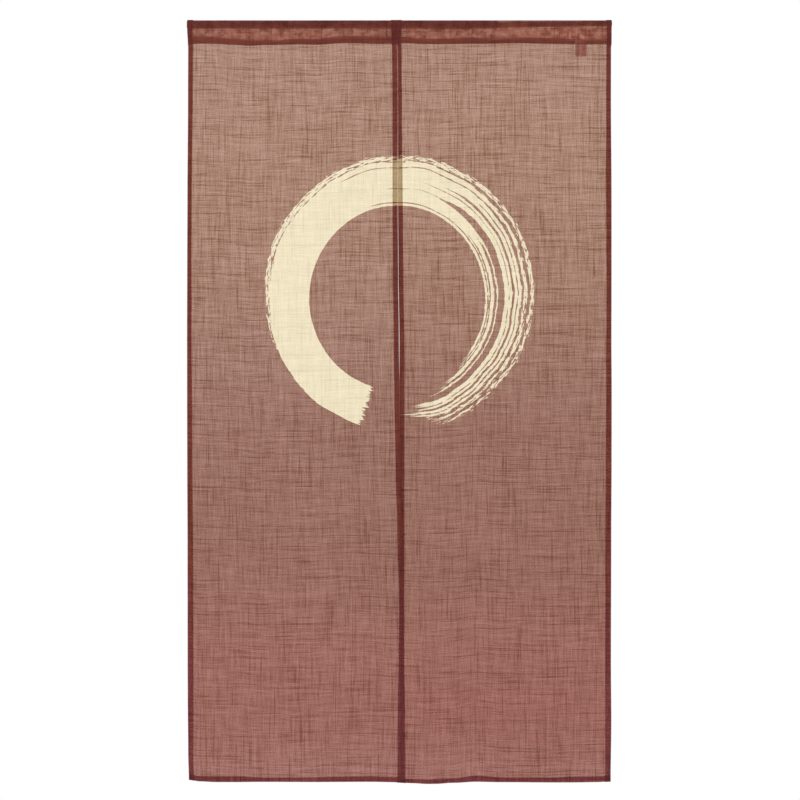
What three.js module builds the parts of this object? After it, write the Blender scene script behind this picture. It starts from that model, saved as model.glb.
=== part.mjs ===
// Noren curtain: two sheer panels, open at a middle slit, on a telescopic tension rod.
// Millimetres. X runs along the rod, -Y is the printed front, +Z is up, and the origin lies on
// the rod's axis, about in the middle of the curtain's width.
import * as THREE from "three";

// Cloth
const CLOTH = 1.0; // one layer
const HEM_EXTRA = 0.8; // what a turned hem adds at the back
const SIDE_HEM = 10; // width of the hems down the sides
const LEDGE = 0.4; // height or width over which a hem's edge steps down to the cloth
const CLEAR = 0.4; // between a label tab and its cloth
const HEADING_FOLD = 1.8; // thickness of the heading's turned-under edge, behind the stitch line
const TURNED_UNDER = 14; // height of that turned-under edge
const POCKET_FLOOR = 2; // the pocket opens this far above its stitch line
const SLACK = 0.7; // how far the pocket's walls belly out between the rod and the stitch line

// Rod
const OUTER_RADIUS = 8.0;
const OUTER_BORE = 7.2;
const INNER_RADIUS = 5.5;
const INNER_BORE = 4.7;
const ROD_LEFT = -427.8; // outer face of the left end pad
const ROD_RIGHT = 425.6; // outer face of the right end pad
const JOINT_X = 196; // where the inner tube leaves the outer tube
const INNER_INSIDE = 100; // length of the inner tube that stays in the outer tube
const INNER_SLOPE = 0.01126; // the inner tube climbs towards its end, by play in the joint
const PAD_THICK = 6; // part of a pad outside its tube
const PLUG_LONG = 14; // part of a pad inside its tube
const PAD_ROUNDING = 1.5;
const PAD_GAP = 0.5; // between a pad and the end of its tube
const PLUG_PLAY = 0.5; // between a plug and its bore
const ROUND_SIDES = 32;

// Height of the stitch line under the rod pocket, along the rod
const STITCH_LINE = [
  { x: -424, z: -38.4 },
  { x: -377, z: -38.1 },
  { x: -329, z: -40.4 },
  { x: -304, z: -41.9 },
  { x: -256, z: -40.6 },
  { x: -208, z: -39.4 },
  { x: -172, z: -40.2 },
  { x: -105, z: -36.8 },
  { x: -39, z: -38.6 },
  { x: 9, z: -37.2 },
  { x: 57, z: -39.0 },
  { x: 166, z: -38.2 },
  { x: 238, z: -37.2 },
  { x: 304, z: -38.2 },
  { x: 401, z: -39.4 },
  { x: 424, z: -39.4 },
];

// Inner radius of the rod pocket's top and how far its middle stands above the outer tube's axis.
// The pocket clears the tubes and pads by about a third of a millimetre.
const POCKET_TOP = [
  { x: JOINT_X + 26, radius: 8.45, rise: 0 },
  { x: JOINT_X + 66, radius: 6.05, rise: 2.4 },
];

// Each panel's side edges, from the heading down
const LEFT_PANEL_SIDES = [
  { z: 10, left: -427.0, right: -6.6 },
  { z: -10, left: -427.0, right: -6.6 },
  { z: -38, left: -425.9, right: -6.6 },
  { z: -46, left: -425.3, right: -5.4 },
  { z: -151, left: -425.6, right: -4.6 },
  { z: -352, left: -426.8, right: -4.7 },
  { z: -500, left: -427.3, right: -3.8 },
  { z: -634, left: -427.6, right: -2.0 },
  { z: -754, left: -427.5, right: -0.8 },
  { z: -875, left: -427.3, right: 1.4 },
  { z: -1036, left: -426.7, right: 5.0 },
  { z: -1156, left: -426.6, right: 7.8 },
  { z: -1277, left: -426.5, right: 7.2 },
  { z: -1357, left: -426.2, right: 5.6 },
  { z: -1458, left: -425.4, right: 5.0 },
  { z: -1520, left: -423.6, right: 5.2 },
];
const RIGHT_PANEL_SIDES = [
  { z: 10, left: -6.2, right: 424.8 },
  { z: -38, left: -6.2, right: 424.8 },
  { z: -46, left: -5.0, right: 423.8 },
  { z: -151, left: -4.2, right: 423.6 },
  { z: -352, left: -3.9, right: 424.8 },
  { z: -500, left: -2.9, right: 424.8 },
  { z: -634, left: -1.3, right: 424.6 },
  { z: -754, left: -1.0, right: 425.2 },
  { z: -875, left: -0.9, right: 425.0 },
  { z: -1036, left: -0.9, right: 424.3 },
  { z: -1277, left: -1.0, right: 423.8 },
  { z: -1400, left: 0.6, right: 424.5 },
  { z: -1520, left: 0.6, right: 423.2 },
];

// Foot of each panel: height of its lower edge, and height of the hem above it
const LEFT_PANEL_FOOT = [
  { x: -424, z: -1514.8, hem: 9.6 },
  { x: -401, z: -1519.0, hem: 10.4 },
  { x: -371, z: -1520.4, hem: 11.2 },
  { x: -325, z: -1520.4, hem: 11.4 },
  { x: -277, z: -1520.0, hem: 8.2 },
  { x: -181, z: -1519.7, hem: 8.6 },
  { x: -150, z: -1519.7, hem: 10.3 },
  { x: -60, z: -1519.8, hem: 10.5 },
  { x: 5, z: -1520.6, hem: 10.0 },
];
const RIGHT_PANEL_FOOT = [
  { x: 0, z: -1521.6, hem: 8.2 },
  { x: 25, z: -1522.8, hem: 8.2 },
  { x: 57, z: -1524.4, hem: 8.6 },
  { x: 73, z: -1524.2, hem: 9.4 },
  { x: 106, z: -1522.0, hem: 8.8 },
  { x: 154, z: -1519.4, hem: 12.2 },
  { x: 210, z: -1520.1, hem: 9.2 },
  { x: 290, z: -1520.8, hem: 9.4 },
  { x: 355, z: -1520.9, hem: 11.4 },
  { x: 395, z: -1520.6, hem: 11.2 },
  { x: 423, z: -1519.2, hem: 10.2 },
];

// How the panels hang in depth: two slow waves that grow towards the foot
const HANGING = 1482; // from the stitch line to the foot
const WAVES = [
  { size: 3.6, length: 390, from: -60, power: 1.3 },
  { size: 1.8, length: 172, from: 40, power: 1.0 },
];
const SLIT_X = 3;
const SLIT_REACH = 70; // how far from the slit the panels part in depth
const PARTING = { from: 0.1, to: 0.36 }; // shares of the drop over which they part
const LEFT_FORWARD = -2.4;
const RIGHT_BACK = 1.6;
const OUTER_CURL = { x: -424, z: -1515, width: 42, height: 60, depth: -7 };
const INNER_CURL = { x: 0, z: -1522, width: 26, height: 30, depth: 4 };

// Blank tabs in the right panel's heading seam
const TAB_TOP_GAP = 0.4;
const TAB_HANG = 24.5;
const TAB_THICK = 1.2;
const TABS = [
  { name: "label_tab_left", left: 351.6, right: 363.4 },
  { name: "label_tab_right", left: 363.8, right: 374.6 },
];

// Resolution
const BODY_ROWS = 16;
const BODY_COLUMNS = 16;
const WALL_ROWS = [0.25, 0.5, 0.75]; // shares of the way from the stitch line to the pocket's top
const TOP_TURNS = 12;

const MATERIALS = {
  cloth: new THREE.MeshStandardMaterial({
    name: "sheer_slub_cloth",
    color: 0x9a7063,
    roughness: 0.95,
    metalness: 0,
    side: THREE.DoubleSide,
  }),
  tab: new THREE.MeshStandardMaterial({
    name: "label_ribbon",
    color: 0xd9d3cb,
    roughness: 0.7,
    metalness: 0,
  }),
  tube: new THREE.MeshStandardMaterial({
    name: "coated_steel_tube",
    color: 0x4a2a24,
    roughness: 0.45,
    metalness: 0.1,
  }),
  pad: new THREE.MeshStandardMaterial({
    name: "rubber_pad",
    color: 0x2c201d,
    roughness: 0.9,
    metalness: 0,
  }),
};

function ease(t) {
  const s = THREE.MathUtils.clamp(t, 0, 1);
  return s * s * (3 - 2 * s);
}

// The value of one column of a table at a place along another, eased from row to row.
function follow(table, along, at, column) {
  const rows = table[0][along] < table.at(-1)[along] ? table : [...table].reverse();
  if (at <= rows[0][along]) return rows[0][column];
  for (let i = 1; i < rows.length; i++) {
    const [a, b] = [rows[i - 1], rows[i]];
    if (at <= b[along]) {
      return THREE.MathUtils.lerp(a[column], b[column], ease((at - a[along]) / (b[along] - a[along])));
    }
  }
  return rows.at(-1)[column];
}

function stitchHeight(x) {
  return follow(STITCH_LINE, "x", x, "z");
}

function curl(spot, x, z) {
  const across = ease(1 - Math.abs(x - spot.x) / spot.width);
  const up = ease(1 - Math.abs(z - spot.z) / spot.height);
  return spot.depth * across * up;
}

// Depth of a panel's middle surface below the stitch line.
function hang(panel, x, z) {
  const drop = THREE.MathUtils.clamp((stitchHeight(x) - z) / HANGING, 0, 1.1);
  let depth = 0;
  for (const wave of WAVES) {
    const turn = (2 * Math.PI * (x - wave.from)) / wave.length;
    depth += wave.size * drop ** wave.power * Math.sin(turn);
  }
  const parted = ease((drop - PARTING.from) / (PARTING.to - PARTING.from));
  depth += panel.apart * parted * ease(1 - Math.abs(x - SLIT_X) / SLIT_REACH);
  return depth + curl(panel.curl, x, z);
}

// Where a column of the panel stands at a given height. A column keeps its distance to the side
// edge that it belongs to, or else divides the cloth between the two side hems evenly.
function columnX(panel, column, z) {
  const left = follow(panel.sides, "z", z, "left");
  const right = follow(panel.sides, "z", z, "right");
  if (column.fromLeft !== undefined) return left + column.fromLeft;
  if (column.fromRight !== undefined) return right - column.fromRight;
  return THREE.MathUtils.lerp(left + SIDE_HEM + LEDGE, right - SIDE_HEM - LEDGE, column.share);
}

function panelColumns() {
  const columns = [
    { fromLeft: 0, hem: true },
    { fromLeft: 6, hem: true },
    { fromLeft: SIDE_HEM, hem: true },
  ];
  for (let i = 0; i <= BODY_COLUMNS; i++) columns.push({ share: i / BODY_COLUMNS, hem: false });
  columns.push({ fromRight: SIDE_HEM, hem: true });
  columns.push({ fromRight: 6, hem: true });
  columns.push({ fromRight: 0, hem: true });
  return columns;
}

// One column's cross-section as two closed rings of points: the cloth's outside, and the pocket.
// The outside runs up the front from the foot, over the rod, and down the back.
function panelSection(panel, column) {
  const headX = columnX(panel, column, 0);
  const footX = columnX(panel, column, panel.foot[0].z);
  const stitch = stitchHeight(headX);
  const footZ = follow(panel.foot, "x", footX, "z");
  const hemTop = footZ + follow(panel.foot, "x", footX, "hem");
  const back = CLOTH / 2 + (column.hem ? HEM_EXTRA : 0);
  const wall = CLOTH + (column.hem ? HEM_EXTRA : 0);

  const point = (y, z) => new THREE.Vector3(columnX(panel, column, z), y, z);
  const body = (offset, z) => point(hang(panel, columnX(panel, column, z), z) + offset, z);

  const inner = follow(POCKET_TOP, "x", headX, "radius");
  const rise = follow(POCKET_TOP, "x", headX, "rise");
  const outer = inner + wall;
  const lean = Math.asin(outer / (rise - stitch));
  const over = (radius, i) => {
    const turn = THREE.MathUtils.lerp(Math.PI + lean, -lean, i / TOP_TURNS);
    return [radius * Math.cos(turn), rise + radius * Math.sin(turn)];
  };
  const [frontY, sideZ] = over(outer, 0);
  const backY = over(outer, TOP_TURNS)[0];
  const foldBack = CLOTH / 2 + HEADING_FOLD;
  const belly = (z) => SLACK * Math.sin((Math.PI * (z - stitch)) / (sideZ - stitch));
  const front = (z) => THREE.MathUtils.mapLinear(z, stitch, sideZ, -CLOTH / 2, frontY) - belly(z);
  const rear = (z) => THREE.MathUtils.mapLinear(z, stitch, sideZ, foldBack, backY) + belly(z);
  const wallHeights = WALL_ROWS.map((share) => THREE.MathUtils.lerp(stitch, sideZ, share));

  const rows = [footZ, hemTop];
  for (let i = 0; i <= BODY_ROWS; i++) {
    rows.push(THREE.MathUtils.lerp(hemTop + LEDGE, stitch, i / BODY_ROWS));
  }
  const outside = rows.map((z) => body(-CLOTH / 2, z));
  for (const z of wallHeights) outside.push(point(front(z), z));
  for (let i = 0; i <= TOP_TURNS; i++) outside.push(point(...over(outer, i)));
  for (const z of [...wallHeights].reverse()) outside.push(point(rear(z), z));
  outside.push(point(foldBack, stitch));
  for (const z of rows.slice(2).reverse()) outside.push(body(back, z));
  outside.push(body(CLOTH / 2 + HEM_EXTRA, hemTop));
  outside.push(body(CLOTH / 2 + HEM_EXTRA, footZ));

  const floor = stitch + POCKET_FLOOR;
  const turned = stitch + TURNED_UNDER;
  const pocket = [point(front(floor) + CLOTH, floor)];
  for (const z of wallHeights.slice(1)) pocket.push(point(front(z) + wall, z));
  for (let i = 0; i <= TOP_TURNS; i++) pocket.push(point(...over(inner, i)));
  for (const z of [...wallHeights].reverse().filter((height) => height > turned + 1)) {
    pocket.push(point(rear(z) - wall, z));
  }
  pocket.push(point(rear(turned + LEDGE) - wall, turned + LEDGE));
  pocket.push(point(rear(turned) - HEADING_FOLD - (wall - CLOTH), turned));
  pocket.push(point(rear(floor) - HEADING_FOLD, floor));
  return { outside, pocket };
}

// How a panel's side edge is closed: a strip up the body, row by row, then the heading with the
// pocket as its hole. Each patch is a list of rings of [ring, point] numbers.
function panelSideEdge([outside, pocket]) {
  const count = outside.length;
  const bodyRows = BODY_ROWS + 3;
  const patches = [];
  for (let i = 1; i < bodyRows; i++) {
    patches.push([[i - 1, i, count - 1 - i, count - i].map((point) => [0, point])]);
  }
  const heading = outside.map((_, i) => [0, i]).slice(bodyRows - 1, count - bodyRows + 1);
  patches.push([heading, pocket.map((_, i) => [1, i])]);
  return patches;
}

function wholeEnd([ring]) {
  return [[ring.map((_, i) => [0, i])]];
}

// A closed body through a row of like sections, each an outer ring and any number of holes.
// endPatches gives the patches that close the first and last section.
function throughSections(sections, endPatches) {
  const positions = [];
  const indices = [];
  const rings = sections.map((section) =>
    section.map((ring) => {
      const start = positions.length / 3;
      for (const p of ring) positions.push(p.x, p.y, p.z);
      return { start, count: ring.length };
    }),
  );
  for (let s = 1; s < rings.length; s++) {
    rings[s].forEach((ring, r) => {
      const before = rings[s - 1][r];
      const inward = r > 0;
      for (let i = 0; i < ring.count; i++) {
        const j = (i + 1) % ring.count;
        const [a, b] = [before.start + i, before.start + j];
        const [c, d] = [ring.start + i, ring.start + j];
        indices.push(...(inward ? [a, d, c, a, b, d] : [a, c, d, a, d, b]));
      }
    });
  }
  for (const [end, facing] of [[0, -1], [sections.length - 1, 1]]) {
    for (const patch of endPatches(sections[end])) {
      closePatch(sections[end], rings[end], patch, facing, indices);
    }
  }
  const geometry = new THREE.BufferGeometry();
  geometry.setAttribute("position", new THREE.Float32BufferAttribute(positions, 3));
  geometry.setIndex(indices);
  geometry.computeVertexNormals();
  return geometry;
}

function closePatch(section, rings, patch, facing, indices) {
  const flat = patch.map((outline) =>
    outline.map(([ring, i]) => new THREE.Vector2(section[ring][i].y, section[ring][i].z)),
  );
  const points = flat.flat();
  const numbers = patch.flat().map(([ring, i]) => rings[ring].start + i);
  const triangles = THREE.ShapeUtils.triangulateShape(flat[0], flat.slice(1));
  let area = 0;
  for (const corners of triangles) area += THREE.ShapeUtils.area(corners.map((i) => points[i]));
  for (const [a, b, c] of triangles) {
    const order = area * facing > 0 ? [a, b, c] : [a, c, b];
    indices.push(...order.map((i) => numbers[i]));
  }
}

function panel(name, settings) {
  const sections = panelColumns().map((column) => {
    const { outside, pocket } = panelSection(settings, column);
    return [outside, pocket];
  });
  const mesh = new THREE.Mesh(throughSections(sections, panelSideEdge), MATERIALS.cloth);
  mesh.name = name;
  return mesh;
}

// A short ribbon tab that hangs just behind the cloth from under the heading's fold.
function labelTab(tab, behind) {
  const middle = (tab.left + tab.right) / 2;
  const top = Math.min(stitchHeight(tab.left), stitchHeight(tab.right)) - TAB_TOP_GAP;
  const sections = [tab.left, middle, tab.right].map((x) => {
    const face = (z, offset) => {
      return new THREE.Vector3(x, hang(behind, x, z) + CLOTH / 2 + CLEAR + offset, z);
    };
    const heights = [top, top - TAB_HANG / 2, top - TAB_HANG];
    const nearSide = heights.map((z) => face(z, 0)).reverse();
    const farSide = heights.map((z) => face(z, TAB_THICK));
    return [[...nearSide, ...farSide]];
  });
  const mesh = new THREE.Mesh(throughSections(sections, wholeEnd), MATERIALS.tab);
  mesh.name = tab.name;
  return mesh;
}

// A turned piece whose axis lies along +X, from its profile of [radius, place along the axis].
function turned(name, profile, material) {
  const points = profile.map(([radius, along]) => new THREE.Vector2(radius, along));
  const geometry = new THREE.LatheGeometry(points, ROUND_SIDES);
  geometry.rotateZ(-Math.PI / 2);
  const mesh = new THREE.Mesh(geometry, material);
  mesh.name = name;
  return mesh;
}

function tube(name, radius, bore, from, to) {
  const profile = [[bore, from], [radius, from], [radius, to], [bore, to], [bore, from]];
  return turned(name, profile, MATERIALS.tube);
}

// A pad with its flat face at the origin, facing -X, and its plug towards +X.
function pad(name, radius, bore) {
  const plug = bore - PLUG_PLAY;
  const profile = [
    [0, 0],
    [radius - PAD_ROUNDING, 0],
    [radius - PAD_ROUNDING * 0.3, PAD_ROUNDING * 0.3],
    [radius, PAD_ROUNDING],
    [radius, PAD_THICK],
    [plug, PAD_THICK],
    [plug, PAD_THICK + PLUG_LONG],
    [0, PAD_THICK + PLUG_LONG],
  ];
  return turned(name, profile, MATERIALS.pad);
}

function rod() {
  const group = new THREE.Group();
  const padDepth = PAD_THICK + PAD_GAP;
  group.add(tube("rod_outer_tube", OUTER_RADIUS, OUTER_BORE, ROD_LEFT + padDepth, JOINT_X));

  const shown = ROD_RIGHT - padDepth - JOINT_X;
  const inner = tube("rod_inner_tube", INNER_RADIUS, INNER_BORE, -INNER_INSIDE, shown);
  inner.position.x = JOINT_X;
  inner.rotation.y = -Math.atan(INNER_SLOPE);
  group.add(inner);

  const leftPad = pad("rod_pad_left", OUTER_RADIUS, OUTER_BORE);
  leftPad.position.x = ROD_LEFT;
  group.add(leftPad);

  const rightPad = pad("rod_pad_right", INNER_RADIUS, INNER_BORE);
  rightPad.rotation.z = Math.PI;
  rightPad.position.set(ROD_RIGHT, 0, (ROD_RIGHT - PAD_THICK - JOINT_X) * INNER_SLOPE);
  group.add(rightPad);
  return group;
}

const left = { sides: LEFT_PANEL_SIDES, foot: LEFT_PANEL_FOOT, apart: LEFT_FORWARD, curl: OUTER_CURL };
const right = { sides: RIGHT_PANEL_SIDES, foot: RIGHT_PANEL_FOOT, apart: RIGHT_BACK, curl: INNER_CURL };

const curtain = new THREE.Group();
curtain.name = "noren_curtain";
curtain.add(panel("panel_left", left));
curtain.add(panel("panel_right", right));
for (const tab of TABS) curtain.add(labelTab(tab, right));
curtain.add(rod());

export default curtain;
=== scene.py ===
"""Noren curtain: two sheer slub cloth panels with a printed ring, hung on a tension rod.

Metres. X runs along the rod, -Y is the printed front, +Z is up, and the origin lies on the rod's
axis, about in the middle of the curtain's width. The cloth's folds repeat those of the solids, and
the rod's tubes and pads are the packed solids with their own finishes.
"""
import math

import bpy
import numpy as np
from mathutils import Matrix, Vector, noise


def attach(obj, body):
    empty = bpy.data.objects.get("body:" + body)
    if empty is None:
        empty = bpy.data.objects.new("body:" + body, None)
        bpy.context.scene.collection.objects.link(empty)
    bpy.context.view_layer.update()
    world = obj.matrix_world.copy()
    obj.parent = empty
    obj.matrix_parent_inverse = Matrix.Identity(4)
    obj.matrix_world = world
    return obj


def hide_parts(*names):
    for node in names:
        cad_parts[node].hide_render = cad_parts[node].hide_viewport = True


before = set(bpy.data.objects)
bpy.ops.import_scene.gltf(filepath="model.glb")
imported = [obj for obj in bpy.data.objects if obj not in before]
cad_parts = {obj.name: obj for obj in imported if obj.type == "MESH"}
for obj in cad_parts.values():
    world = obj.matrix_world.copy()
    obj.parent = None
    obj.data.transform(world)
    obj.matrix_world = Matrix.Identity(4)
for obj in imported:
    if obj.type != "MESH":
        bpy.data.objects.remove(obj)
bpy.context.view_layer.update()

bl_info = {
    "name": "Noren Curtain",
    "version": (1, 0, 0),
    "blender": (4, 5, 0),
    "location": "3D View > Sidebar > Noren",
    "description": "A sheer two-panel curtain with a rod pocket and a printed ring, on a rod",
    "category": "Add Mesh",
}

BODY = "root"

# The cloth's map of places on the flat cut, and its attributes
CUT_MAP = "cut_cloth"
PRINTED_FACE = "printed_face"
FOLDED = "folded"
# The weave's open share at each point, whose changes with height and panel are painted light
OPEN_WEAVE_WITH_PAINTED_LIGHT = "open_weave"
IN_POCKET = "in_pocket"

# Height of the stitch line under the rod pocket: (x, z)
STITCH_LINE = [
    (-0.424, -0.0384),
    (-0.377, -0.0381),
    (-0.329, -0.0404),
    (-0.304, -0.0419),
    (-0.256, -0.0406),
    (-0.208, -0.0394),
    (-0.172, -0.0402),
    (-0.105, -0.0368),
    (-0.039, -0.0386),
    (0.009, -0.0372),
    (0.057, -0.0390),
    (0.166, -0.0382),
    (0.238, -0.0372),
    (0.304, -0.0382),
    (0.401, -0.0394),
    (0.424, -0.0394),
]

# Where the outer tube ends, and the inner radius of the pocket's top with the rise of its middle
# over the outer tube's axis: (x, radius, rise)
JOINT_X = 0.196
POCKET_TOP = [
    (JOINT_X + 0.026, 0.00845, 0.0),
    (JOINT_X + 0.066, 0.00605, 0.0024),
]

# Height of the strip of heading that is turned under: (x, height)
TURNED_STRIP = [
    (-0.424, 0.0150),
    (-0.385, 0.0146),
    (-0.345, 0.0123),
    (-0.323, 0.0128),
    (-0.294, 0.0102),
    (-0.252, 0.0084),
    (-0.205, 0.0112),
    (-0.180, 0.0110),
    (-0.120, 0.0142),
    (-0.060, 0.0150),
    (0.010, 0.0132),
    (0.045, 0.0112),
    (0.097, 0.0107),
    (0.139, 0.0128),
    (0.181, 0.0108),
    (0.209, 0.0108),
    (0.265, 0.0124),
    (0.321, 0.0116),
    (0.349, 0.0099),
    (0.424, 0.0105),
]

# Side edges of a panel: (z, left edge, right edge)
LEFT_SIDES = [
    (0.010, -0.4270, -0.00641),
    (-0.010, -0.4270, -0.00641),
    (-0.038, -0.4259, -0.00641),
    (-0.046, -0.4253, -0.00528),
    (-0.151, -0.4256, -0.00447),
    (-0.352, -0.4268, -0.00446),
    (-0.500, -0.4273, -0.00360),
    (-0.634, -0.4276, -0.0020),
    (-0.754, -0.4275, -0.0008),
    (-0.875, -0.4273, 0.0014),
    (-1.036, -0.4267, 0.0050),
    (-1.156, -0.4266, 0.0078),
    (-1.277, -0.4265, 0.0072),
    (-1.357, -0.4262, 0.0056),
    (-1.458, -0.4254, 0.0050),
    (-1.520, -0.4236, 0.0052),
]
RIGHT_SIDES = [
    (0.010, -0.00639, 0.4248),
    (-0.038, -0.00639, 0.4248),
    (-0.046, -0.00514, 0.4238),
    (-0.151, -0.00434, 0.4236),
    (-0.352, -0.00414, 0.4248),
    (-0.500, -0.00310, 0.4248),
    (-0.634, -0.0013, 0.4246),
    (-0.754, -0.0010, 0.4252),
    (-0.875, -0.0009, 0.4250),
    (-1.036, -0.0009, 0.4243),
    (-1.277, -0.0010, 0.4238),
    (-1.400, 0.0006, 0.4245),
    (-1.520, 0.0006, 0.4232),
]

# Widths of a panel's side hems: (z, left hem, right hem)
LEFT_HEMS = [
    (0.010, 0.0106, 0.0108),
    (-0.046, 0.0097, 0.0108),
    (-0.420, 0.0084, 0.0104),
    (-0.600, 0.0090, 0.0104),
    (-0.850, 0.0105, 0.0104),
    (-1.150, 0.0112, 0.0100),
    (-1.350, 0.0114, 0.0100),
    (-1.520, 0.0098, 0.0100),
]
RIGHT_HEMS = [
    (0.010, 0.0092, 0.0098),
    (-0.046, 0.0083, 0.0096),
    (-0.200, 0.0081, 0.0098),
    (-0.300, 0.0092, 0.0111),
    (-0.420, 0.0098, 0.0106),
    (-0.560, 0.0100, 0.0099),
    (-0.700, 0.0101, 0.0110),
    (-0.900, 0.0099, 0.0120),
    (-1.150, 0.0097, 0.0119),
    (-1.277, 0.0095, 0.0117),
    (-1.400, 0.0098, 0.0123),
    (-1.520, 0.0102, 0.0110),
]

# Foot of a panel: (x, height of the edge, height of the hem above it)
LEFT_FOOT = [
    (-0.424, -1.5148, 0.0096),
    (-0.401, -1.5190, 0.0104),
    (-0.371, -1.5204, 0.0112),
    (-0.325, -1.5204, 0.0114),
    (-0.277, -1.5200, 0.0082),
    (-0.181, -1.5197, 0.0086),
    (-0.150, -1.5197, 0.0103),
    (-0.060, -1.5198, 0.0105),
    (0.005, -1.5206, 0.0100),
]
RIGHT_FOOT = [
    (0.000, -1.5216, 0.0082),
    (0.025, -1.5228, 0.0082),
    (0.057, -1.5244, 0.0086),
    (0.073, -1.5242, 0.0094),
    (0.106, -1.5220, 0.0088),
    (0.154, -1.5194, 0.0122),
    (0.210, -1.5201, 0.0092),
    (0.290, -1.5208, 0.0094),
    (0.355, -1.5209, 0.0114),
    (0.395, -1.5206, 0.0112),
    (0.423, -1.5192, 0.0102),
]

# Share of the cloth's area that is open between the threads, which changes as painted light: more
# open near the heading and at the foot, painting them lighter, and less open on the right panel,
# painting it darker: (z, left panel, right panel)
OPENINGS_WITH_PAINTED_LIGHT = [
    (-0.070, 0.130, 0.128),
    (-0.410, 0.118, 0.114),
    (-0.573, 0.106, 0.096),
    (-0.653, 0.102, 0.090),
    (-0.854, 0.078, 0.072),
    (-1.014, 0.068, 0.064),
    (-1.175, 0.064, 0.060),
    (-1.400, 0.060, 0.054),
    (-1.500, 0.078, 0.072),
]

# Drop from the stitch line to the foot, and how far past it the waves still grow, as a share
HANGING = 1.482
PAST_FOOT = 1.1

# Slow waves in which the panels hang: (size, length, start, power of the growth towards the foot)
WAVES = [
    (0.0036, 0.390, -0.060, 1.3),
    (0.0018, 0.172, 0.040, 1.0),
]

# The slit, how far from it the panels bend apart, and over which shares of the drop they part
SLIT_X = 0.003
SLIT_REACH = 0.070
PARTING = (0.1, 0.36)

# The two panels: "apart" is how far each goes out of the other's way at the slit, "curl" is a
# corner of the foot that turns out, the openings key is its column of the open shares, which carry
# painted light, and "bolt" is where on the bolt of cloth it is cut
PANELS = {
    "left": {
        "node": "panel_left",
        "sides": LEFT_SIDES,
        "hems": LEFT_HEMS,
        "foot": LEFT_FOOT,
        "apart": -0.0024,
        "curl": {"x": -0.424, "z": -1.515, "width": 0.042, "height": 0.060, "depth": -0.007},
        "openings_with_painted_light": 1,
        "bolt": (0.0, 0.0),
        "rests_on": ["rod_outer_tube"],
    },
    "right": {
        "node": "panel_right",
        "sides": RIGHT_SIDES,
        "hems": RIGHT_HEMS,
        "foot": RIGHT_FOOT,
        "apart": 0.0016,
        "curl": {"x": 0.000, "z": -1.522, "width": 0.026, "height": 0.030, "depth": 0.004},
        "openings_with_painted_light": 2,
        "bolt": (0.53, 2.17),
        "rests_on": ["rod_outer_tube", "rod_inner_tube"],
    },
}

# Blank ribbon tabs in the right panel's heading seam
TABS = {
    "left": {"node": "label_tab_left", "from": 0.3516, "to": 0.3634, "finish": "undyed"},
    "right": {"node": "label_tab_right", "from": 0.3638, "to": 0.3746, "finish": "tinted"},
}


def linear(hex_colour):
    """A linear RGBA colour from an sRGB hex value."""
    channels = [int(hex_colour[i:i + 2], 16) / 255 for i in (1, 3, 5)]
    curved = [c / 12.92 if c <= 0.04045 else ((c + 0.055) / 1.055) ** 2.4 for c in channels]
    return (*curved, 1.0)


def colour_property(name, description, hex_colour):
    return bpy.props.FloatVectorProperty(
        name=name,
        description=description,
        default=linear(hex_colour),
        size=4,
        min=0.0,
        max=1.0,
        subtype="COLOR",
    )


def length_property(name, description, default):
    return bpy.props.FloatProperty(
        name=name,
        description=description,
        default=default,
        precision=5,
        unit="LENGTH",
        subtype="DISTANCE",
    )


def share_property(name, description, default):
    return bpy.props.FloatProperty(
        name=name, description=description, default=default, min=0.0, max=1.0, subtype="FACTOR"
    )


def power_property(name, description, default):
    return bpy.props.FloatProperty(
        name=name, description=description, default=default, unit="POWER"
    )


class ClothSettings(bpy.types.PropertyGroup):
    """Sizes of the cloth and its sewing."""

    layer: length_property("Layer", "From one layer of cloth to the next in a fold", 0.0004)
    step: length_property("Grid step", "Distance between the cloth's grid lines", 0.0045)
    cut_width: length_property("Cut width", "Width of a panel's cloth before hemming", 0.464)
    cut_length: length_property("Cut length", "Length of a panel's cloth before hemming", 1.618)
    pucker: length_property("Pucker", "How far the seam gathers the cloth in and out", 0.0005)
    crease: length_property("Crease", "Depth of the creases in the pocket's walls", 0.0010)
    stitch_pitch: length_property("Stitch pitch", "Distance from one stitch to the next", 0.0030)
    stitch_long: length_property("Stitch", "Length of one stitch", 0.0025)
    thread: length_property("Thread", "Radius of the sewing thread", 0.00028)


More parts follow.
